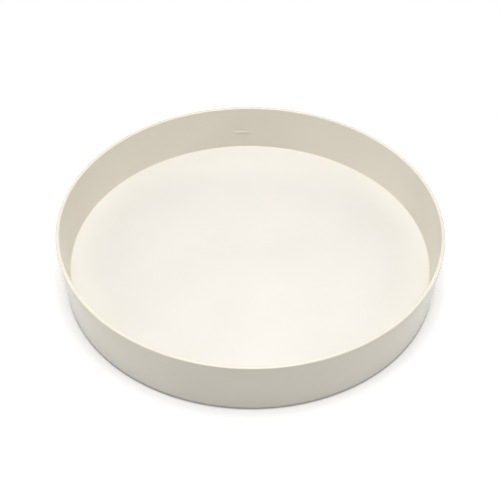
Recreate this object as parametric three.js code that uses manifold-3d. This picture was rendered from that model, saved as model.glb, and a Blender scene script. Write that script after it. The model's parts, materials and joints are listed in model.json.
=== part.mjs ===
// A lazy susan turntable: a shallow round tray with a tall, slightly flared rim that turns on a ball race
// hidden under its floor. Millimetres, +Z up. The origin is on the spin axis, in the plane the feet stand on.
//
// From the table up: push-in rubber feet, a ribbed base plate with the lower ball groove, a ring of steel
// balls in a plastic cage, and the tray, whose floor carries the upper groove. A screw and a broad washer
// under the base hold the tray's hub in the base's bore, so the tray turns freely and can't lift off.
import * as THREE from "three";
import { mergeVertices } from "three/addons/utils/BufferGeometryUtils.js";
import Module from "manifold-3d";

const wasm = await Module();
wasm.setup();

// Driving dimensions.
const HEIGHT = 50; // table to the top of the rim
const RIM_RADIUS = 150; // outside of the rim at its top
const SKIRT_RADIUS = 144; // outside of the wall at its lower edge
const SKIRT_GAP = 1.8; // table to the wall's lower edge
const DEPTH = 36; // rim down to the tray's floor
const WALL = 2.9; // wall thickness at the rim
const WALL_FOOT = 4; // wall thickness where it meets the floor
const SKIRT_WALL = 2.6; // wall thickness at its lower edge
const FLOOR = 2.5; // floor thickness
const CORNER = 0.8; // fillet where the floor meets the wall
const RIM_ROUND = 0.9; // rounding of the rim's two edges
const SKIRT_ROOT = 3.2; // wall thickness just under the floor
const SKIRT_ROUND = 0.6; // rounding of the lower edge
const BASE_RADIUS = 112; // outside of the base plate
const BALL_RADIUS = 3;
const BALL_COUNT = 16;
const RACE_RADIUS = 80; // spin axis to the balls' centres
const BALL_HEIGHT = 7.2; // table to the balls' centres
const FOOT_COUNT = 6;
const FOOT_CIRCLE = 98; // spin axis to the feet's centres
const RIB_COUNT = 12;

// Clearances.
const TOUCH = 0.1; // between two parts that rest on each other
const RUNNING = 0.3; // between two parts that turn past each other
const BALL_PLAY = 0.15; // ball to groove

// Facets round a circle, by its size.
const LARGE = 64;
const MEDIUM = 24;
const SMALL = 12;
const GROOVE_STEPS = 8; // straight steps in half a turn of a ball groove's section

// ---------------------------------------------------------------- shapes

// A closed solid from a three.js geometry, with its shared corners merged and its empty faces dropped.
function solid(geometry) {
  const bare = geometry.clone();
  bare.deleteAttribute("normal");
  bare.deleteAttribute("uv");
  const merged = mergeVertices(bare, 1e-4);
  const corners = merged.index.array;
  const faces = [];
  for (let i = 0; i < corners.length; i += 3) {
    const [a, b, c] = corners.subarray(i, i + 3);
    if (a !== b && b !== c && c !== a) faces.push(a, b, c);
  }
  const vertProperties = merged.getAttribute("position").array;
  return new wasm.Manifold(new wasm.Mesh({ numProp: 3, vertProperties, triVerts: new Uint32Array(faces) }));
}

// A solid as a three.js geometry.
function geometryOf(made) {
  const mesh = made.getMesh();
  const positions = new THREE.BufferAttribute(new Float32Array(mesh.vertProperties), mesh.numProp);
  const geometry = new THREE.BufferGeometry().setAttribute("position", positions);
  geometry.setIndex(new THREE.BufferAttribute(new Uint32Array(mesh.triVerts), 1));
  geometry.computeVertexNormals();
  return geometry;
}

const join = (parts) => parts.reduce((whole, part) => whole.add(part));
const cut = (whole, parts) => parts.reduce((left, part) => left.subtract(part), whole);

// Points of an arc in the radius-height plane. Angles are in degrees, 0 outwards and 90 up.
function arc(radius, height, size, from, to, steps) {
  return Array.from({ length: steps + 1 }, (_, i) => {
    const angle = THREE.MathUtils.degToRad(from + ((to - from) * i) / steps);
    return [radius + size * Math.cos(angle), height + size * Math.sin(angle)];
  });
}

// A [radius, height] outline turned about the spin axis. It runs outwards below and inwards above.
function turned(outline, facets) {
  const points = outline.map(([radius, height]) => new THREE.Vector2(radius, height));
  return solid(new THREE.LatheGeometry(points, facets).rotateX(Math.PI / 2));
}

function disc(radius, low, high, facets) {
  return turned([[0, low], [radius, low], [radius, high], [0, high]], facets);
}

function ring(inner, outer, low, high, facets) {
  return turned([[inner, low], [outer, low], [outer, high], [inner, high], [inner, low]], facets);
}

// A straight radial rib from one radius to another, at an angle in degrees.
function rib(inner, outer, low, high, thickness, degrees) {
  const box = new THREE.BoxGeometry(outer - inner, thickness, high - low);
  box.translate((inner + outer) / 2, 0, (low + high) / 2);
  return solid(box.rotateZ(THREE.MathUtils.degToRad(degrees)));
}

// count equal angles round a full turn, in degrees, starting at first.
const around = (count, first = 0) => Array.from({ length: count }, (_, i) => first + (360 * i) / count);

// The same solid repeated on a circle about the spin axis.
function onCircle(made, radius, angles) {
  return angles.map((degrees) => {
    const angle = THREE.MathUtils.degToRad(degrees);
    return made.translate([radius * Math.cos(angle), radius * Math.sin(angle), 0]);
  });
}

// ---------------------------------------------------------------- levels and radii that follow

const FLOOR_TOP = HEIGHT - DEPTH;
const FLOOR_UNDER = FLOOR_TOP - FLOOR;
const FLARE = (RIM_RADIUS - SKIRT_RADIUS) / (HEIGHT - SKIRT_GAP); // outward lean of the wall per millimetre
const outside = (height) => SKIRT_RADIUS + FLARE * (height - SKIRT_GAP);

const TRAY_RIB = 1.5; // thickness of the ribs under the floor
const TRAY_RIB_LOW = 9.4; // their lower edge
const HOOP_RADIUS = 125; // inside of the round rib between the race and the wall
const HOOP = 1.6; // its thickness
const BITE = 1; // how far a piece runs into the one it joins, and a cutter past the one it cuts

const GROOVE = 3.4; // radius of the ball grooves' section
const LAND = 1.6; // ball centre to each groove's shoulders
const RACE_HALF = 6.5; // half the width of each race
const GROOVE_OFFSET = GROOVE - BALL_RADIUS - BALL_PLAY; // groove's section centre past the ball's centre
const RACE_INNER = RACE_RADIUS - RACE_HALF;
const RACE_OUTER = RACE_RADIUS + RACE_HALF;

const PLATE_LOW = 2.8; // web of the base plate
const PLATE_HIGH = 4.6;
const BASE_LOW = 1.4; // lower edge of the base's ribs, bosses and rims
const BASE_RIM_HIGH = 5.8;
const BASE_RIB = 1.6;
const BASE_RIM = 2;

const HUB_RADIUS = 9; // tray's hub, which turns in the base's bore
const HUB_TUBE = 2;
const HUB_LOW = 5;
const POST_RADIUS = 4.4; // post inside the hub, which the screw bites into
const HUB_WEBS = 4;
const CUP_INNER = 15; // cup in the base's underside, for the washer and the screw's head
const CUP_OUTER = 17;
const CUP_WEB_LOW = 5.4;
const CUP_WEB_HIGH = 7;

const SCREW_RADIUS = 1.9;
const SCREW_HEAD_RADIUS = 4.2;
const SCREW_HEAD = 2.2;
const SCREW_LENGTH = 7; // under the head
const SCREW_ROUND = 1.2; // rounding of the head's edge, and length of the tip's taper
const RECESS_HALF = 2.3; // cross recess: half its span, its depth and the width of its slots
const RECESS_DEPTH = 1.3;
const RECESS_WIDTH = 0.9;
const WASHER_RADIUS = 13;
const WASHER = 1;
const WASHER_HIGH = HUB_LOW - TOUCH;
const SCREW_SEAT = WASHER_HIGH - WASHER - TOUCH; // underside of the washer

const FOOT_RADIUS = 8;
const FOOT_HIGH = BASE_LOW - TOUCH; // the foot's pad ends just under its boss
const FOOT_CHAMFER = 0.5;
const STEM_RADIUS = 2.5;
const BARB_RADIUS = 3.3;
const BARB_TIP = 2;
const BARB_HIGH = 5.9;
const BOSS_RADIUS = 9.2;

const CAGE_HALF = 1; // half the cage's thickness
const CAGE_INSET = 0.5; // each side of the cage to the race's side
const CAGE_PLAY = 0.25; // ball to pocket

// ---------------------------------------------------------------- pieces

// Floor, flared wall and skirt in one moulding. Under the floor: the upper ball race, the hub and ribs.
function trayShell() {
  const rim = outside(HEIGHT);
  const cornerRadius = outside(FLOOR_TOP) - WALL_FOOT - CORNER;
  return turned([
    [0, FLOOR_UNDER],
    [outside(FLOOR_UNDER) - SKIRT_ROOT, FLOOR_UNDER],
    [SKIRT_RADIUS - SKIRT_WALL, SKIRT_GAP],
    ...arc(SKIRT_RADIUS - SKIRT_ROUND, SKIRT_GAP + SKIRT_ROUND, SKIRT_ROUND, -90, -8, 2),
    ...arc(rim - RIM_ROUND, HEIGHT - RIM_ROUND, RIM_ROUND, 0, 90, 3),
    ...arc(rim - WALL + RIM_ROUND, HEIGHT - RIM_ROUND, RIM_ROUND, 90, 180, 3),
    ...arc(cornerRadius, FLOOR_TOP + CORNER, CORNER, 0, -90, 4),
    [0, FLOOR_TOP],
  ], LARGE);
}

function upperRace() {
  const low = BALL_HEIGHT + LAND;
  const block = ring(RACE_INNER, RACE_OUTER, low, FLOOR_UNDER + TOUCH, LARGE);
  const groove = arc(RACE_RADIUS, BALL_HEIGHT - GROOVE_OFFSET, GROOVE, 0, 180, GROOVE_STEPS);
  return cut(block, [turned([...groove, groove[0]], LARGE)]);
}

function trayHub() {
  const high = FLOOR_UNDER + TOUCH;
  const post = ring(SCREW_RADIUS + RUNNING, POST_RADIUS, HUB_LOW, high, SMALL);
  const tube = ring(HUB_RADIUS - HUB_TUBE, HUB_RADIUS, HUB_LOW, high, MEDIUM);
  const webs = around(HUB_WEBS).map((degrees) =>
    rib(POST_RADIUS - BITE, HUB_RADIUS - BITE, HUB_LOW + BITE, high, TRAY_RIB, degrees));
  return [post, tube, ...webs];
}

function tray() {
  const low = TRAY_RIB_LOW;
  const high = FLOOR_UNDER + TOUCH;
  const inner = around(RIB_COUNT).map((degrees) =>
    rib(HUB_RADIUS - BITE, RACE_INNER + BITE, low, high, TRAY_RIB, degrees));
  const outer = around(RIB_COUNT).map((degrees) =>
    rib(RACE_OUTER - BITE, outside(low) - SKIRT_WALL / 2, low, high, TRAY_RIB, degrees));
  const hoop = ring(HOOP_RADIUS, HOOP_RADIUS + HOOP, low, high, LARGE);
  return join([trayShell(), upperRace(), ...trayHub(), ...inner, ...outer, hoop]);
}

// Ribbed disc with the lower ball race on top, a cupped hub and a boss for each foot, midway between ribs.
function basePlate() {
  const race = ring(RACE_INNER, RACE_OUTER, PLATE_LOW, BALL_HEIGHT - LAND, LARGE);
  const groove = arc(RACE_RADIUS, BALL_HEIGHT + GROOVE_OFFSET, GROOVE, 180, 360, GROOVE_STEPS);
  const plate = ring(CUP_INNER + BITE, BASE_RADIUS - BITE, PLATE_LOW, PLATE_HIGH, LARGE);
  const rim = ring(BASE_RADIUS - BASE_RIM, BASE_RADIUS, BASE_LOW, BASE_RIM_HIGH, LARGE);
  const hoops = [RACE_INNER, RACE_OUTER - BASE_RIM].map((radius) =>
    ring(radius, radius + BASE_RIM, BASE_LOW, PLATE_LOW + TOUCH, LARGE));
  const cup = ring(CUP_INNER, CUP_OUTER, BASE_LOW, CUP_WEB_HIGH, MEDIUM);
  const web = ring(HUB_RADIUS + RUNNING, CUP_INNER + BITE, CUP_WEB_LOW, CUP_WEB_HIGH, MEDIUM);
  const ribs = around(RIB_COUNT, 180 / RIB_COUNT).map((degrees) =>
    rib(CUP_OUTER - BITE, BASE_RADIUS - BITE, BASE_LOW, PLATE_LOW + TOUCH, BASE_RIB, degrees));
  const boss = disc(BOSS_RADIUS, BASE_LOW, PLATE_LOW + TOUCH, MEDIUM);
  const hole = disc(STEM_RADIUS + RUNNING, BASE_LOW - BITE, PLATE_HIGH + BITE, SMALL);
  const feet = around(FOOT_COUNT);
  return cut(
    join([race, plate, rim, ...hoops, cup, web, ...ribs, ...onCircle(boss, FOOT_CIRCLE, feet)]),
    [turned([...groove, groove[0]], LARGE), ...onCircle(hole, FOOT_CIRCLE, feet)],
  );
}

// Flat ring with a round pocket for each ball, which keeps the balls apart.
function ballCage() {
  const low = BALL_HEIGHT - CAGE_HALF;
  const high = BALL_HEIGHT + CAGE_HALF;
  const body = ring(RACE_INNER + CAGE_INSET, RACE_OUTER - CAGE_INSET, low, high, LARGE);
  const pocket = disc(BALL_RADIUS + CAGE_PLAY, low - BITE, high + BITE, SMALL);
  return cut(body, onCircle(pocket, RACE_RADIUS, around(BALL_COUNT)));
}

// Push-in rubber foot: a round pad, a stem through the base's boss and a barb above the web.
function footPad() {
  const barbLow = PLATE_HIGH + TOUCH;
  return turned([
    [0, 0],
    [FOOT_RADIUS - FOOT_CHAMFER, 0],
    [FOOT_RADIUS, FOOT_CHAMFER],
    [FOOT_RADIUS, FOOT_HIGH],
    [STEM_RADIUS, FOOT_HIGH],
    [STEM_RADIUS, barbLow],
    [BARB_RADIUS, barbLow],
    [BARB_TIP, BARB_HIGH],
    [0, BARB_HIGH],
  ], SMALL);
}

// Pan-head screw with a cross recess, driven up into the tray's hub.
function pivotScrew() {
  const low = SCREW_SEAT - SCREW_HEAD;
  const body = turned([
    [0, low],
    ...arc(SCREW_HEAD_RADIUS - SCREW_ROUND, low + SCREW_ROUND, SCREW_ROUND, -90, 0, 3),
    [SCREW_HEAD_RADIUS, SCREW_SEAT],
    [SCREW_RADIUS, SCREW_SEAT],
    [SCREW_RADIUS, SCREW_SEAT + SCREW_LENGTH - SCREW_ROUND],
    [0, SCREW_SEAT + SCREW_LENGTH],
  ], SMALL);
  const slots = [0, 90].map((degrees) =>
    rib(-RECESS_HALF, RECESS_HALF, low - BITE, low + RECESS_DEPTH, RECESS_WIDTH, degrees));
  return cut(body, slots);
}

function pivotWasher() {
  return ring(SCREW_RADIUS + RUNNING, WASHER_RADIUS, WASHER_HIGH - WASHER, WASHER_HIGH, MEDIUM);
}

// ---------------------------------------------------------------- the model

const plastic = new THREE.MeshStandardMaterial({ color: 0xf3efe4, roughness: 0.42, metalness: 0 });
const basePlastic = new THREE.MeshStandardMaterial({ color: 0xebe7dc, roughness: 0.5, metalness: 0 });
const cagePlastic = new THREE.MeshStandardMaterial({ color: 0xf6f5f0, roughness: 0.45, metalness: 0 });
const steel = new THREE.MeshStandardMaterial({ color: 0xc9ccd0, roughness: 0.12, metalness: 1 });
const zincSteel = new THREE.MeshStandardMaterial({ color: 0xb4b8bd, roughness: 0.3, metalness: 1 });
const rubber = new THREE.MeshStandardMaterial({ color: 0xc9c6bd, roughness: 0.8, metalness: 0 });

function mesh(name, geometry, material) {
  const made = new THREE.Mesh(geometry, material);
  made.name = name;
  return made;
}

// Meshes named prefix_1, prefix_2 and so on, one at each angle of a circle, turned to face outwards.
function circleOfMeshes(prefix, geometry, material, radius, height, angles) {
  return angles.map((degrees, i) => {
    const made = mesh(`${prefix}_${i + 1}`, geometry, material);
    const angle = THREE.MathUtils.degToRad(degrees);
    made.position.set(radius * Math.cos(angle), radius * Math.sin(angle), height);
    made.rotation.z = angle;
    return made;
  });
}

const ball = new THREE.IcosahedronGeometry(BALL_RADIUS, 1);
const foot = geometryOf(footPad());

const turntable = new THREE.Group();
turntable.add(
  mesh("tray", geometryOf(tray()), plastic),
  mesh("base_plate", geometryOf(basePlate()), basePlastic),
  mesh("ball_cage", geometryOf(ballCage()), cagePlastic),
  mesh("pivot_screw", geometryOf(pivotScrew()), zincSteel),
  mesh("pivot_washer", geometryOf(pivotWasher()), zincSteel),
  ...circleOfMeshes("bearing_ball", ball, steel, RACE_RADIUS, BALL_HEIGHT, around(BALL_COUNT)),
  ...circleOfMeshes("foot_pad", foot, rubber, FOOT_CIRCLE, 0, around(FOOT_COUNT)),
);

export default turntable;
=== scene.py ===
"""The looks of a lazy susan turntable: a cream plastic tray that turns on a ball race under its floor.

Metres, +Z up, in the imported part's own frame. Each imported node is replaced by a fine, rounded version of
itself in the same place, cut and joined in mesh code, with a procedural material.
"""

import json
import math

import bmesh
import bpy
from mathutils import Matrix, Vector

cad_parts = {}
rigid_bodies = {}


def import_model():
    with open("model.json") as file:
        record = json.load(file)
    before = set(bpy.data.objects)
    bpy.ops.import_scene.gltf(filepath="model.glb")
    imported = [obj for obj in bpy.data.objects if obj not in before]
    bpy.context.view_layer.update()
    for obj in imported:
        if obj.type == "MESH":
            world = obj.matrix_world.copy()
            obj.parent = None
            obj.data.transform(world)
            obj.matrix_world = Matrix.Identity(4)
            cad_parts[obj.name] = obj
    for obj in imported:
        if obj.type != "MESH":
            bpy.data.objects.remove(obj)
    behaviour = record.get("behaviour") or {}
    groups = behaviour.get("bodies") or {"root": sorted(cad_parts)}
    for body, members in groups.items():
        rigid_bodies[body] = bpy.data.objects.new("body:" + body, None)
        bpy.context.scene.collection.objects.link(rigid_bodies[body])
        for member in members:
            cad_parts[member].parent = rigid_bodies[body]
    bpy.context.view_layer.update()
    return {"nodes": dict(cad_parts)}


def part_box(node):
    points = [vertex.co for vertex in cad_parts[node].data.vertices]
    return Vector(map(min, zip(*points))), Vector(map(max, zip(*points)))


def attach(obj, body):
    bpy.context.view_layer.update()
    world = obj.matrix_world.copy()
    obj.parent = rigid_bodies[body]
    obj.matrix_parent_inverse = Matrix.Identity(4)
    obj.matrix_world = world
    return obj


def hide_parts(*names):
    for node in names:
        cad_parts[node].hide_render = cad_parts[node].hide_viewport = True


MM = 0.001

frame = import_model()


# ---------------------------------------------------------------- sizes and places

def outer_radius(node):
    """The outer radius of a node that is centred on the spin axis."""
    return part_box(node)[1][0]


def low(node):
    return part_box(node)[0][2]


def high(node):
    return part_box(node)[1][2]


def middle(node):
    lowest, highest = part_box(node)
    return Vector(lowest).lerp(Vector(highest), 0.5)


BALLS = sorted(node for node in frame["nodes"] if node.startswith("bearing_ball_"))
FEET = sorted(node for node in frame["nodes"] if node.startswith("foot_pad_"))

# Tray
RIM_RADIUS = outer_radius("tray")
HEIGHT = high("tray")
SKIRT_GAP = low("tray")
SKIRT_RADIUS = RIM_RADIUS - 6 * MM
FLARE = (RIM_RADIUS - SKIRT_RADIUS) / (HEIGHT - SKIRT_GAP)  # outward lean of the wall per unit of height
WALL = 2.9 * MM  # at the rim
WALL_FOOT = 4.6 * MM  # where it meets the floor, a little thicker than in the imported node
SKIRT_ROOT = 3.2 * MM  # just under the floor
SKIRT_FILLET = 1 * MM
SKIRT_WALL = 2.6 * MM  # at the lower edge
FLOOR_TOP = HEIGHT - 36 * MM
FLOOR_UNDER = FLOOR_TOP - 2.5 * MM
FLOOR_RINGS = (0.6, 0.2)  # where the floor's faces are parted, as shares of the rim's radius
CORNER = 1.0 * MM  # fillet between floor and wall
RIM_ROUND = 0.9 * MM
HUB_RADIUS = 9 * MM
HUB_TUBE = 2 * MM
HUB_LOW = 5 * MM
HUB_WEBS = 4
POST_RADIUS = 4.4 * MM
POST_HOLE = 2.2 * MM
TRAY_HOOP = 125 * MM
HOOP = 1.6 * MM  # its thickness at the root
HOOP_DRAFT = 0.1 * MM
TRAY_RIB_LOW = 9.4 * MM
TRAY_RIB = 1.5 * MM
RIB_COUNT = 12
BITE = 1 * MM  # how far a rib reaches into the walls that it joins

# Ball race
BALL_RADIUS = 3 * MM
RACE_RADIUS = middle(BALLS[0]).xy.length
BALL_HEIGHT = middle(BALLS[0]).z
GROOVE = 3.4 * MM  # radius of the grooves' section
GROOVE_OFFSET = 0.25 * MM  # its centre past the balls' centres
LAND = 1.6 * MM  # balls' centres to the races' shoulders
GROOVE_ANGLE = math.degrees(math.asin((LAND + GROOVE_OFFSET) / GROOVE))
RACE_HALF = 6.5 * MM
RACE_INNER = RACE_RADIUS - RACE_HALF
RACE_OUTER = RACE_RADIUS + RACE_HALF
SHOULDER = 1 * MM  # the first stretch of a race's flat, next to its edge
POCKET = BALL_RADIUS + 0.25 * MM

# Base
BASE_RADIUS = outer_radius("base_plate")
BASE_LOW = low("base_plate")
PLATE_LOW = 2.8 * MM
PLATE_HIGH = 4.6 * MM
BASE_RIM = 2 * MM
BASE_RIM_HIGH = 5.8 * MM
BASE_RIB = 1.6 * MM
BORE = 9.3 * MM
CUP_INNER = 15 * MM
CUP_OUTER = 17 * MM
CUP_WEB_LOW = 5.4 * MM
CUP_WEB_HIGH = high("base_plate")
FOOT_CIRCLE = middle(FEET[0]).xy.length
BOSS_RADIUS = 9.2 * MM
FOOT_HOLE = 2.8 * MM

# Roundings of moulded edges and roots, from the crispest to the fullest
CRISP = 0.3 * MM
FINE = 0.35 * MM
EASED = 0.4 * MM
SOFT = 0.5 * MM
ROUND = 0.6 * MM
FULL = 0.8 * MM

# Facets round a circle, by its size
HUGE = 384
LARGE = 96
SMALL = 48


# ---------------------------------------------------------------- outlines

def arc(radius, height, size, start, end, steps):
    """Points of an arc in the radius-height plane. Angles are in degrees, 0 outwards and 90 up."""
    points = []
    for i in range(steps + 1):
        angle = math.radians(start + (end - start) * i / steps)
        points.append((radius + size * math.cos(angle), height + size * math.sin(angle)))
    return points


def rounded(corners, steps=4):
    """A closed outline whose (x, y, rounding) corners become arcs. One with no rounding stays sharp."""
    points = []
    for i, corner in enumerate(corners):
        here = Vector(corner[:2])
        if len(corner) == 2:
            points.append(tuple(here))
            continue
        size = corner[2]
        before = (Vector(corners[i - 1][:2]) - here).normalized()
        after = (Vector(corners[(i + 1) % len(corners)][:2]) - here).normalized()
        half = before.angle(after) / 2
        centre = here + (before + after).normalized() * size / math.sin(half)
        first = (here + before * size / math.tan(half) - centre).normalized()
        last = (here + after * size / math.tan(half) - centre).normalized()
        for step in range(steps + 1):
            points.append(tuple(centre + size * first.slerp(last, step / steps)))
    return points


def around(count, first=0):
    """count equal angles round a full turn, in degrees."""
    return [first + 360 * i / count for i in range(count)]


def polar(radius, angle, height):
    """The point at this radius and angle about Z, in radians."""
    return (radius * math.cos(angle), radius * math.sin(angle), height)


# ---------------------------------------------------------------- solids

def new_object(name, data):
    made = bpy.data.objects.new(name, data)
    bpy.context.collection.objects.link(made)
    return made


def object_from(name, work):
    """An object from a bmesh, with its faces pointing out."""
    bmesh.ops.recalc_face_normals(work, faces=work.faces)
    mesh = bpy.data.meshes.new(name)
    work.to_mesh(mesh)
    work.free()
    return new_object(name, mesh)


def turned(name, outline, segments):
    """A closed solid of revolution about Z. Its outline starts and ends on the axis, or is a loop."""
    angles = [math.tau * i / segments for i in range(segments)]
    work = bmesh.new()
    rings = []
    for radius, height in outline:
        if radius == 0:
            rings.append([work.verts.new((0, 0, height))] * segments)
            continue
        rings.append([work.verts.new(polar(radius, angle, height)) for angle in angles])
    pairs = list(zip(rings, rings[1:]))
    if outline[0][0] > 0:
        pairs.append((rings[-1], rings[0]))
    for lower, upper in pairs:
        for i in range(segments):
            j = (i + 1) % segments
            loop = [lower[i], lower[j], upper[j], upper[i]]
            work.faces.new([v for k, v in enumerate(loop) if v is not loop[k - 1]])
    return object_from(name, work)


def prism(name, outline, start, end):
    """A (y, z) outline drawn out along X, from start to end."""
    work = bmesh.new()
    near = [work.verts.new((start, y, z)) for y, z in outline]
    far = [work.verts.new((end, y, z)) for y, z in outline]
    work.faces.new(near)
    work.faces.new(far)
    for i in range(len(outline)):
        j = (i + 1) % len(outline)
        work.faces.new((near[i], near[j], far[j], far[i]))
    return object_from(name, work)


def rib_section(thickness, tip, root, fillet):
    """A rib's (y, z) section: rounded at its tip, drafted, with a fillet where it leaves a wall."""
    draft = 0.15 * MM
    into_wall = math.copysign(0.02 * MM, root - tip)
    deep_into_wall = 20 * into_wall
    half_root = thickness / 2
    half_tip = half_root - draft
    foot = half_root + 2 * fillet
    side = [
        (foot, root + deep_into_wall),
        (foot, root + into_wall),
        (half_root, root, fillet),
        (half_tip, tip, FINE),
    ]
    return rounded(side + [(-corner[0], *corner[1:]) for corner in reversed(side)])


def discard(thing):
    mesh = thing.data
    bpy.data.objects.remove(thing)
    bpy.data.meshes.remove(mesh)


def repeated(source, radius, angles):
    """One object with a copy of source at each angle about Z, moved out by radius. Uses source up."""
    work = bmesh.new()
    for degrees in angles:
        turn = Matrix.Rotation(math.radians(degrees), 4, "Z")
        copy = source.data.copy()
        copy.transform(turn @ Matrix.Translation((radius, 0, 0)))
        work.from_mesh(copy)
        bpy.data.meshes.remove(copy)
    made = object_from(source.name, work)
    discard(source)
    return made


def combined(piece, tool, operation):
    """Joins tool to piece, or cuts it out of piece, and uses tool up."""
    step = piece.modifiers.new("combine", "BOOLEAN")
    step.operation = operation
    step.solver = "EXACT"
    step.object = tool
    graph = bpy.context.evaluated_depsgraph_get()
    result = bpy.data.meshes.new_from_object(piece.evaluated_get(graph))
    piece.modifiers.clear()
    old = piece.data
    piece.data = result
    bpy.data.meshes.remove(old)
    discard(tool)
    return piece


def smooth(piece, crisp_degrees=32):
    """Smooth shading, with edges sharper than the angle kept crisp."""
    mesh = piece.data
    mesh.polygons.foreach_set("use_smooth", [True] * len(mesh.polygons))
    mesh.set_sharp_from_angle(angle=math.radians(crisp_degrees))
    return piece


# ---------------------------------------------------------------- tray

def wall_radius(height):
    """The outer radius of the tray's wall at a height."""
    return SKIRT_RADIUS + FLARE * (height - SKIRT_GAP)


def inner_radius(height):
    """The inner radius of the tray's wall at a height above the floor."""
    share = (height - FLOOR_TOP) / (HEIGHT - FLOOR_TOP)
    return wall_radius(height) - WALL_FOOT + share * (WALL_FOOT - WALL)


def tray():
    """One moulding. Its outline runs from the axis outwards underneath, up the wall and back inside."""
    shoulder = BALL_HEIGHT + LAND
    underside = rounded([
        (0, FLOOR_UNDER),
        (POST_HOLE, FLOOR_UNDER),
        (POST_HOLE, HUB_LOW, CRISP),
        (POST_RADIUS, HUB_LOW, CRISP),
        (POST_RADIUS, FLOOR_UNDER, SOFT),
        (HUB_RADIUS - HUB_TUBE, FLOOR_UNDER, SOFT),
        (HUB_RADIUS - HUB_TUBE, HUB_LOW, CRISP),
        (HUB_RADIUS, HUB_LOW, EASED),
        (HUB_RADIUS, FLOOR_UNDER, FULL),
        (RACE_INNER, FLOOR_UNDER, FULL),
        (RACE_INNER, shoulder, EASED),
        (RACE_INNER + SHOULDER, shoulder),
    ])
    groove_centre = BALL_HEIGHT - GROOVE_OFFSET
    groove = arc(RACE_RADIUS, groove_centre, GROOVE, 180 - GROOVE_ANGLE, GROOVE_ANGLE, steps=16)
    outside = rounded([
        (RACE_OUTER - SHOULDER, shoulder),
        (RACE_OUTER, shoulder, EASED),
        (RACE_OUTER, FLOOR_UNDER, FULL),
        (TRAY_HOOP, FLOOR_UNDER, ROUND),
        (TRAY_HOOP + HOOP_DRAFT, TRAY_RIB_LOW, FINE),
        (TRAY_HOOP + HOOP - HOOP_DRAFT, TRAY_RIB_LOW, FINE),
        (TRAY_HOOP + HOOP, FLOOR_UNDER, ROUND),
        (wall_radius(FLOOR_UNDER) - SKIRT_ROOT, FLOOR_UNDER, SKIRT_FILLET),
        (SKIRT_RADIUS - SKIRT_WALL, SKIRT_GAP, SOFT),
        (SKIRT_RADIUS, SKIRT_GAP, ROUND),
        (wall_radius(HEIGHT - RIM_ROUND), HEIGHT - RIM_ROUND),
    ], steps=6)
    rim = arc(RIM_RADIUS - RIM_ROUND, HEIGHT - RIM_ROUND, RIM_ROUND, 0, 90, steps=8)
    inside = rounded([
        (RIM_RADIUS - WALL / 2, HEIGHT),
        (RIM_RADIUS - WALL, HEIGHT, RIM_ROUND),
        (wall_radius(FLOOR_TOP) - WALL_FOOT, FLOOR_TOP, CORNER),
        *[(share * RIM_RADIUS, FLOOR_TOP) for share in FLOOR_RINGS],
        (0, FLOOR_TOP),
    ], steps=8)
    piece = turned("tray_moulding", underside + groove + outside[:-1] + rim + inside[1:], HUGE)
    for ribs in tray_ribs():
        piece = combined(piece, ribs, "UNION")
    piece = combined(piece, wall_bar(), "UNION")
    return smooth(piece)


def tray_ribs():
    """Ribs under the floor, from hub to race and from race to wall, and the webs in the hub."""
    section = rib_section(TRAY_RIB, TRAY_RIB_LOW, FLOOR_UNDER, EASED)
    inner = prism("inner_ribs", section, HUB_RADIUS - BITE, RACE_INNER + BITE)
    outer = prism("outer_ribs", section, RACE_OUTER - BITE, SKIRT_RADIUS - SKIRT_WALL / 2)
    web_low = HUB_LOW + 1 * MM
    post_bite = 0.9 * MM
    web_section = rib_section(TRAY_RIB, web_low, FLOOR_UNDER, CRISP)
    webs = prism("hub_webs", web_section, POST_RADIUS - post_bite, HUB_RADIUS - BITE)
    return [
        repeated(inner, 0, around(RIB_COUNT)),
        repeated(outer, 0, around(RIB_COUNT)),
        repeated(webs, 0, around(HUB_WEBS)),
    ]


def wall_bar():
    """A small plain raised bar, moulded on the inside of the wall at the back."""
    half_length = 5.4 * MM
    half_height = 0.85 * MM
    bearing = math.radians(93.4)
    height = FLOOR_TOP + 13.7 * MM
    sunk = 0.8 * MM
    edge = 0.14 * MM
    crown = 0.26 * MM
    work = bmesh.new()
    rings = []
    for proud, drawn_in in ((-sunk, 0), (edge, 0), (crown, crown - edge)):
        size = half_height - drawn_in
        right = arc(half_length, 0, size, -90, 90, steps=10)
        left = arc(-half_length, 0, size, 90, 270, steps=10)
        ring = []
        for along, up in right + left:
            radius = inner_radius(height + up) - proud
            ring.append(work.verts.new(polar(radius, bearing + along / radius, height + up)))
        rings.append(ring)
    work.faces.new(rings[0])
    work.faces.new(rings[-1])
    for lower, upper in zip(rings, rings[1:]):
        for i in range(len(lower)):
            j = (i + 1) % len(lower)
            work.faces.new((lower[i], lower[j], upper[j], upper[i]))
    return object_from("wall_bar", work)


# ---------------------------------------------------------------- base

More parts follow.
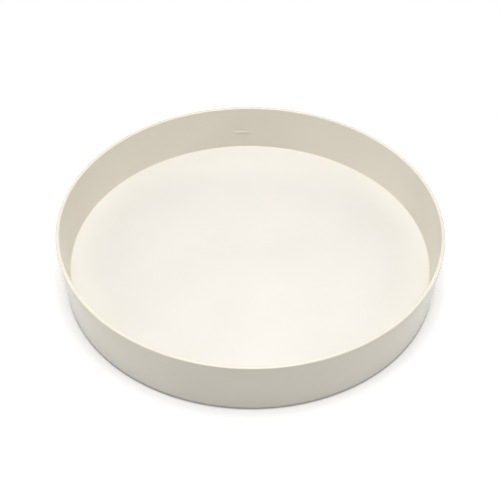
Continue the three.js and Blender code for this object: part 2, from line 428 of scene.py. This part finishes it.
def base_plate():
    """A closed outline from the bore outwards underneath and back over the top, then ribs and bosses."""
    shoulder = BALL_HEIGHT - LAND
    underside = rounded([
        (BORE, CUP_WEB_HIGH, FINE),
        (BORE, CUP_WEB_LOW, FINE),
        (CUP_INNER, CUP_WEB_LOW, ROUND),
        (CUP_INNER, BASE_LOW, FINE),
        (CUP_OUTER, BASE_LOW, FINE),
        (CUP_OUTER, PLATE_LOW, SOFT),
        (RACE_INNER, PLATE_LOW, SOFT),
        (RACE_INNER, BASE_LOW, FINE),
        (RACE_INNER + BASE_RIM, BASE_LOW, FINE),
        (RACE_INNER + BASE_RIM, PLATE_LOW, SOFT),
        (RACE_OUTER - BASE_RIM, PLATE_LOW, SOFT),
        (RACE_OUTER - BASE_RIM, BASE_LOW, FINE),
        (RACE_OUTER, BASE_LOW, FINE),
        (RACE_OUTER, PLATE_LOW, SOFT),
        (BASE_RADIUS - BASE_RIM, PLATE_LOW, SOFT),
        (BASE_RADIUS - BASE_RIM, BASE_LOW, FINE),
        (BASE_RADIUS, BASE_LOW, FINE),
        (BASE_RADIUS, BASE_RIM_HIGH, ROUND),
        (BASE_RADIUS - BASE_RIM, BASE_RIM_HIGH, ROUND),
        (BASE_RADIUS - BASE_RIM, PLATE_HIGH, SOFT),
        (RACE_OUTER, PLATE_HIGH, SOFT),
        (RACE_OUTER, shoulder, FINE),
        (RACE_OUTER - SHOULDER, shoulder),
    ])
    groove_centre = BALL_HEIGHT + GROOVE_OFFSET
    groove = arc(RACE_RADIUS, groove_centre, GROOVE, -GROOVE_ANGLE, GROOVE_ANGLE - 180, steps=16)
    top = rounded([
        (RACE_INNER + SHOULDER, shoulder),
        (RACE_INNER, shoulder, FINE),
        (RACE_INNER, PLATE_HIGH, SOFT),
        (CUP_OUTER, PLATE_HIGH, FULL),
        (CUP_OUTER, CUP_WEB_HIGH, ROUND),
        (CUP_INNER, CUP_WEB_HIGH),
    ])
    piece = turned("base_moulding", underside + groove + top, HUGE)
    rib_low = BASE_LOW + 0.2 * MM
    rib = rib_section(BASE_RIB, rib_low, PLATE_LOW, FINE)
    ribs = prism("base_ribs", rib, CUP_OUTER - BITE, BASE_RADIUS - BITE)
    piece = combined(piece, repeated(ribs, 0, around(RIB_COUNT, 180 / RIB_COUNT)), "UNION")
    piece = combined(piece, repeated(foot_boss(), FOOT_CIRCLE, around(len(FEET))), "UNION")
    piece = combined(piece, repeated(foot_hole(), FOOT_CIRCLE, around(len(FEET))), "DIFFERENCE")
    return smooth(piece)


def foot_boss():
    middle_of_web = (PLATE_LOW + PLATE_HIGH) / 2
    outline = rounded([
        (0, BASE_LOW),
        (BOSS_RADIUS, BASE_LOW, FINE),
        (BOSS_RADIUS, middle_of_web),
        (0, middle_of_web),
    ])
    return turned("foot_bosses", outline, SMALL)


def foot_hole():
    """What is cut out for a foot, running past the plate on both sides."""
    past = 1 * MM
    below = BASE_LOW - past
    above = PLATE_HIGH + past
    return turned("foot_holes", [(0, below), (FOOT_HOLE, below), (FOOT_HOLE, above), (0, above)], SMALL)


def foot_pad(node):
    """A push-in rubber foot with two grip grooves in its sole."""
    play = 0.1 * MM  # between the rubber and the base's faces
    pad = 8 * MM
    pad_edge = 1 * MM  # the last stretch of the sole, with the edge's rounding
    pad_high = BASE_LOW - play
    stem = 2.5 * MM
    barb = 3.3 * MM
    barb_low = PLATE_HIGH + play
    barb_edge = 0.2 * MM
    barb_tip = stem - 0.5 * MM
    groove_radii = (3 * MM, 5.2 * MM)
    groove = 0.5 * MM
    groove_round = 0.1 * MM
    outline = [(0, 0)]
    for radius in groove_radii:
        outline += rounded([
            (radius - groove, 0),
            (radius - groove / 2, groove, groove_round),
            (radius + groove / 2, groove, groove_round),
            (radius + groove, 0),
        ])
    outline += rounded([
        (pad - pad_edge, 0),
        (pad, 0, SOFT),
        (pad, pad_high, CRISP),
        (stem, pad_high),
        (stem, barb_low),
        (barb, barb_low, barb_edge),
        (barb_tip, high(node), CRISP),
        (0, high(node)),
    ])
    piece = turned(f"rubber_{node}", outline, LARGE)
    piece.data.transform(Matrix.Translation(middle(node) * Vector((1, 1, 0))))
    return smooth(piece)


# ---------------------------------------------------------------- bearing and pivot

def ball_cage():
    """A flat ring with a flared pocket for each ball."""
    half_width = outer_radius("ball_cage") - RACE_RADIUS
    bottom = low("ball_cage")
    top = high("ball_cage")
    outline = rounded([
        (RACE_RADIUS - half_width, bottom, EASED),
        (RACE_RADIUS + half_width, bottom, EASED),
        (RACE_RADIUS + half_width, top, EASED),
        (RACE_RADIUS - half_width, top, EASED),
    ])
    piece = turned("cage_ring", outline, HUGE)
    flare = 0.3 * MM
    pocket = [
        (0, bottom - flare),
        (POCKET + 2 * flare, bottom - flare),
        (POCKET, bottom + flare),
        (POCKET, top - flare),
        (POCKET + 2 * flare, top + flare),
        (0, top + flare),
    ]
    pockets = repeated(turned("pockets", pocket, SMALL), RACE_RADIUS, around(len(BALLS)))
    return smooth(combined(piece, pockets, "DIFFERENCE"))


def bearing_ball(node):
    """A ball without a crisp edge anywhere."""
    work = bmesh.new()
    bmesh.ops.create_icosphere(work, subdivisions=5, radius=BALL_RADIUS)
    bmesh.ops.translate(work, verts=work.verts, vec=middle(node))
    return smooth(object_from(f"steel_{node}", work), crisp_degrees=180)


def pivot_screw():
    """A pan-head screw with a cross recess, and a coarse thread for plastic."""
    bottom = low("pivot_screw")
    top = high("pivot_screw")
    head = outer_radius("pivot_screw")
    head_high = 2.2 * MM
    head_round = 1.4 * MM
    head_side = 0.3 * MM
    seat = bottom + head_high
    seat_edge = 0.2 * MM
    plain_shank = 0.5 * MM
    shank = 1.9 * MM
    tip = 0.4 * shank
    taper = 1.2 * MM
    thread_low = seat + plain_shank
    thread_high = top - taper
    rings = 90
    levels = [thread_low + (thread_high - thread_low) * i / rings for i in range(1, rings + 1)]
    outline = [(0, bottom)]
    outline += arc(head - head_round, bottom + head_round, head_round, -90, 0, steps=8)
    outline += rounded([
        (head, seat - head_side),
        (head, seat, seat_edge),
        (shank, seat),
        (shank, thread_low),
    ])
    outline += [(shank, level) for level in levels]
    outline += [(tip, top), (0, top)]
    piece = turned("pan_head_screw", outline, SMALL)
    cut_thread(piece, shank, thread_low, thread_high)
    for wing in cross_recess(bottom):
        piece = combined(piece, wing, "DIFFERENCE")
    return smooth(piece, crisp_degrees=40)


def cross_recess(bottom):
    """The two wings that a cross recess is cut with, narrower towards their ends in the head."""
    half_length = 2.2 * MM
    half_width = 0.45 * MM
    half_width_within = 0.3 * MM
    outside = bottom - 1 * MM
    deepest = bottom + 1.4 * MM
    section = [
        (-half_width, outside),
        (half_width, outside),
        (half_width_within, deepest),
        (-half_width_within, deepest),
    ]
    return [repeated(prism("slot", section, -half_length, half_length), 0, [turn]) for turn in (0, 90)]


def cut_thread(piece, radius, bottom, top):
    """Sinks a helical groove into a shank, running out at both ends."""
    pitch = 1.4 * MM
    depth = 0.45 * MM
    core = 0.9 * radius  # points nearer the axis than this aren't on the shank's surface
    ridge_half = 0.3  # half the ridge's width, as a share of the pitch
    for vertex in piece.data.vertices:
        x, y, z = vertex.co
        if not bottom < z < top or math.hypot(x, y) < core:
            continue
        phase = (z / pitch - math.atan2(y, x) / math.tau) % 1
        ridge = max(0, 1 - abs(phase - 0.5) / ridge_half)
        fade = min(1, (z - bottom) / pitch, (top - z) / pitch)
        scale = 1 - depth * (1 - ridge) * fade / radius
        vertex.co = (x * scale, y * scale, z)


def pivot_washer():
    """A flat washer with each edge eased by a different amount, as stamping leaves them."""
    hole = 2.2 * MM
    hole_edge = 0.25 * MM
    crisp_edge = 0.15 * MM
    radius = outer_radius("pivot_washer")
    bottom = low("pivot_washer")
    top = high("pivot_washer")
    outline = rounded([
        (hole, bottom, crisp_edge),
        (radius, bottom, EASED),
        (radius, top, crisp_edge),
        (hole, top, hole_edge),
    ])
    return smooth(turned("flat_washer", outline, LARGE))


# ---------------------------------------------------------------- materials

class Finish:
    """A principled material with helpers for its procedural nodes, in the object's own coordinates."""

    def __init__(self, name, **settings):
        self.material = bpy.data.materials.new(name)
        self.material.use_nodes = True
        self.nodes = self.material.node_tree.nodes
        self.links = self.material.node_tree.links
        self.shader = self.nodes["Principled BSDF"]
        self.place = self.nodes.new("ShaderNodeTexCoord").outputs["Object"]
        for socket, value in settings.items():
            self.shader.inputs[socket.replace("_", " ")].default_value = value

    def noise(self, size, detail=3.0):
        """Noise from 0 to 1, with features of about this size."""
        node = self.nodes.new("ShaderNodeTexNoise")
        node.inputs["Scale"].default_value = 1 / size
        node.inputs["Detail"].default_value = detail
        self.links.new(self.place, node.inputs["Vector"])
        return node.outputs["Fac"]

    def reach(self):
        """The distance from the object's own origin."""
        node = self.nodes.new("ShaderNodeVectorMath")
        node.operation = "LENGTH"
        self.links.new(self.place, node.inputs[0])
        return node.outputs["Value"]

    def spread(self, value, lowest, highest, start=0.3, end=0.7):
        """Maps start..end of a value to lowest..highest."""
        node = self.nodes.new("ShaderNodeMapRange")
        node.inputs["From Min"].default_value = start
        node.inputs["From Max"].default_value = end
        node.inputs["To Min"].default_value = lowest
        node.inputs["To Max"].default_value = highest
        self.links.new(value, node.inputs["Value"])
        return node.outputs["Result"]

    def mix(self, value, first, second):
        """From the first colour to the second, each a triple or an earlier mix."""
        node = self.nodes.new("ShaderNodeMix")
        node.data_type = "RGBA"
        for socket, colour in (("A", first), ("B", second)):
            if isinstance(colour, tuple):
                node.inputs[socket].default_value = (*colour, 1)
            else:
                self.links.new(colour, node.inputs[socket])
        self.links.new(value, node.inputs["Factor"])
        return node.outputs["Result"]

    def colour(self, value):
        self.links.new(value, self.shader.inputs["Base Color"])

    def roughness(self, value):
        self.links.new(value, self.shader.inputs["Roughness"])

    def glow(self, value):
        self.links.new(value, self.shader.inputs["Emission Strength"])

    def bump(self, value, depth):
        """Relief of this depth."""
        node = self.nodes.new("ShaderNodeBump")
        node.inputs["Distance"].default_value = depth
        self.links.new(value, node.inputs["Height"])
        self.links.new(node.outputs["Normal"], self.shader.inputs["Normal"])


def tray_plastic():
    """Satin cream moulding with faint clouding and the softest orange peel, a little warmer in its walls as
    painted bounce light and paler on its floor as painted sheen.
    """
    finish = Finish("tray_plastic", IOR=1.49, Specular_IOR_Level=0.42)
    clouds = finish.spread(finish.noise(60 * MM), 0, 1)
    # Painted light on one plastic: the floor's paler cream is a painted sheen, the walls' warmer cream is
    # painted warm bounce light.
    floor_cream_painted_sheen = finish.mix(clouds, (0.586, 0.566, 0.522), (0.608, 0.588, 0.544))
    wall_cream_painted_bounce = finish.mix(clouds, (0.598, 0.562, 0.482), (0.620, 0.584, 0.504))
    # Mask from floor to walls, where the painted sheen tint gives way to the painted bounce tint.
    floor_edge = inner_radius(FLOOR_TOP)
    walls = finish.spread(finish.reach(), 0, 1, start=floor_edge - 3 * MM, end=floor_edge + 1 * MM)
    finish.colour(finish.mix(walls, floor_cream_painted_sheen, wall_cream_painted_bounce))
    finish.roughness(finish.spread(finish.noise(18 * MM), 0.21, 0.27))
    finish.bump(finish.noise(1.6 * MM, detail=2), depth=0.004 * MM)
    return finish.material


def base_plastic():
    """The same cream, with the finer, duller texture of a part that isn't seen."""
    finish = Finish("base_plastic", IOR=1.49)
    clouds = finish.spread(finish.noise(40 * MM), 0, 1)
    finish.colour(finish.mix(clouds, (0.578, 0.553, 0.492), (0.605, 0.580, 0.519)))
    finish.roughness(finish.spread(finish.noise(9 * MM), 0.46, 0.56))
    finish.bump(finish.noise(0.5 * MM, detail=4), depth=0.02 * MM)
    return finish.material


def cage_plastic():
    """Natural white plastic that lets a little light in."""
    finish = Finish("cage_plastic", IOR=1.48, Subsurface_Weight=0.15, Subsurface_Scale=1 * MM)
    clouds = finish.spread(finish.noise(12 * MM), 0, 1)
    finish.colour(finish.mix(clouds, (0.82, 0.82, 0.80), (0.87, 0.87, 0.855)))
    finish.roughness(finish.spread(finish.noise(4 * MM), 0.34, 0.44))
    finish.bump(finish.noise(0.8 * MM), depth=0.006 * MM)
    return finish.material


def bearing_steel():
    """Polished ball steel, with a film of grease that dulls it in patches."""
    finish = Finish("bearing_steel", Metallic=1.0)
    film = finish.noise(2.5 * MM)
    finish.colour(finish.mix(finish.spread(film, 0, 1), (0.60, 0.605, 0.61), (0.68, 0.685, 0.69)))
    finish.roughness(finish.spread(film, 0.05, 0.16))
    finish.bump(finish.noise(0.3 * MM), depth=0.0005 * MM)
    return finish.material


def zinc_steel():
    """Bright zinc plate, slightly mottled."""
    finish = Finish("zinc_steel", Metallic=1.0)
    clouds = finish.spread(finish.noise(3 * MM), 0, 1)
    finish.colour(finish.mix(clouds, (0.50, 0.51, 0.53), (0.60, 0.61, 0.62)))
    finish.roughness(finish.spread(finish.noise(1.2 * MM), 0.22, 0.36))
    finish.bump(finish.noise(0.25 * MM), depth=0.002 * MM)
    return finish.material


def foot_rubber():
    """Matt rubber in a darker cream."""
    finish = Finish("foot_rubber", IOR=1.5)
    clouds = finish.spread(finish.noise(5 * MM), 0, 1)
    finish.colour(finish.mix(clouds, (0.50, 0.48, 0.43), (0.56, 0.54, 0.49)))
    finish.roughness(finish.spread(finish.noise(2 * MM), 0.68, 0.82))
    finish.bump(finish.noise(0.35 * MM, detail=5), depth=0.02 * MM)
    return finish.material


# ---------------------------------------------------------------- assembly

def fit(piece, node, body, material):
    """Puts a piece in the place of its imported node, on that node's body."""
    piece.data.materials.clear()
    piece.data.materials.append(material)
    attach(piece, body)
    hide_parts(node)


def build():
    steel = bearing_steel()
    zinc = zinc_steel()
    rubber = foot_rubber()
    fit(tray(), "tray", "tray", tray_plastic())
    fit(base_plate(), "base_plate", "base", base_plastic())
    fit(ball_cage(), "ball_cage", "ball_cage", cage_plastic())
    fit(pivot_screw(), "pivot_screw", "tray", zinc)
    fit(pivot_washer(), "pivot_washer", "tray", zinc)
    for node in BALLS:
        fit(bearing_ball(node), node, node.replace("bearing_", ""), steel)
    for node in FEET:
        fit(foot_pad(node), node, "base", rubber)


# ---------------------------------------------------------------- studio

FLOOR_NAME = "floor"
FLOOR_HALF = 6
FLOOR_DROP = 0.02 * MM  # keeps it clear of the feet's soles
GLOW = 0.54  # the floor's own light
PAINTED_SHADOW_GLOW = 0.17  # the same, dimmed as a painted shadow where the tray stands over it
PAINTED_SHADOW_EDGE = 0.5 * MM  # half the width over which the glow turns into the painted shadow
WORLD_LIGHT = 0.01


def camera():
    """Above and in front, with a long lens, aimed a little in front of the spin axis."""
    distance = 1.2
    elevation = math.radians(42.9)
    roll = math.radians(0.57)
    target = Vector((-0.0002, -0.0130, 0.0363))
    data = bpy.data.cameras.new("camera")
    data.lens = 112.0
    data.sensor_width = 36
    made = new_object("camera", data)
    back = Vector((0, -math.cos(elevation), math.sin(elevation)))
    made.location = target + distance * back
    look = (target - made.location).to_track_quat("-Z", "Y")
    made.rotation_euler = (look.to_matrix() @ Matrix.Rotation(roll, 3, "Z")).to_euler()
    bpy.context.scene.camera = made


def softbox(name, location, width, depth, power, only=None):
    """A soft light aimed at the turntable. With only, it reaches just that collection."""
    data = bpy.data.lights.new(name, "AREA")
    data.shape = "RECTANGLE"
    data.size = width
    data.size_y = depth
    data.energy = power
    made = new_object(name, data)
    made.location = location
    made.rotation_euler = (-made.location).to_track_quat("-Z", "Y").to_euler()
    made.light_linking.receiver_collection = only


def floor():
    """A broad white sheet, just under the feet, with a glow that is fainter under the tray as a painted
    shadow.
    """
    signs = ((-1, -1), (1, -1), (1, 1), (-1, 1))
    corners = [(x * FLOOR_HALF, y * FLOOR_HALF, -FLOOR_DROP) for x, y in signs]
    mesh = bpy.data.meshes.new(FLOOR_NAME)
    mesh.from_pydata(corners, [], [(0, 1, 2, 3)])
    sheet = new_object(FLOOR_NAME, mesh)
    finish = Finish("floor_white", Roughness=0.9, Emission_Color=(1, 1, 1, 1))
    finish.colour(finish.mix(finish.noise(0.3), (0.79, 0.79, 0.79), (0.81, 0.81, 0.81)))
    # Painted shadow: the glow drops under the tray's skirt, so the strip of floor seen under it stays dark.
    start = SKIRT_RADIUS - PAINTED_SHADOW_EDGE
    end = SKIRT_RADIUS + PAINTED_SHADOW_EDGE
    finish.glow(finish.spread(finish.reach(), PAINTED_SHADOW_GLOW, GLOW, start, end))
    sheet.data.materials.append(finish.material)


def turntable():
    """A collection of the turntable's own pieces."""
    group = bpy.data.collections.new("turntable")
    for thing in bpy.data.objects:
        if thing.type == "MESH" and thing.name != FLOOR_NAME:
            group.objects.link(thing)
    return group


def world():
    """A nearly dark world, and colours shown as they are, without a film curve."""
    scene = bpy.context.scene
    scene.view_settings.view_transform = "Standard"
    scene.world = bpy.data.worlds.new("studio")
    scene.world.use_nodes = True
    background = scene.world.node_tree.nodes["Background"]
    background.inputs["Color"].default_value = (1, 1, 1, 1)
    background.inputs["Strength"].default_value = WORLD_LIGHT


def lights():
    """One soft light above for everything, and fills all round that reach only the turntable.

    Each has its place, width, depth and power in watts.
    """
    pieces = turntable()
    softbox("overhead", (0, -0.13, 2.4), 1.2, 1.2, 38.5)
    softbox("broad_fill", (0, -0.2, 1.6), 1.4, 1.4, 3, pieces)
    softbox("front_fill", (0, -0.75, 1.5), 1.0, 0.8, 15, pieces)
    softbox("back_fill", (0, 2.0, 0.7), 1.6, 0.6, 8.7, pieces)
    softbox("left_fill", (-1.6, 0, 0.9), 1.2, 0.9, 12.2, pieces)
    softbox("right_fill", (1.6, 0, 0.9), 1.2, 0.9, 10.4, pieces)
    softbox("panel", (0, 1.15, 1.7), 1.8, 0.5, 2.5, pieces)


build()
floor()
world()
lights()
camera()
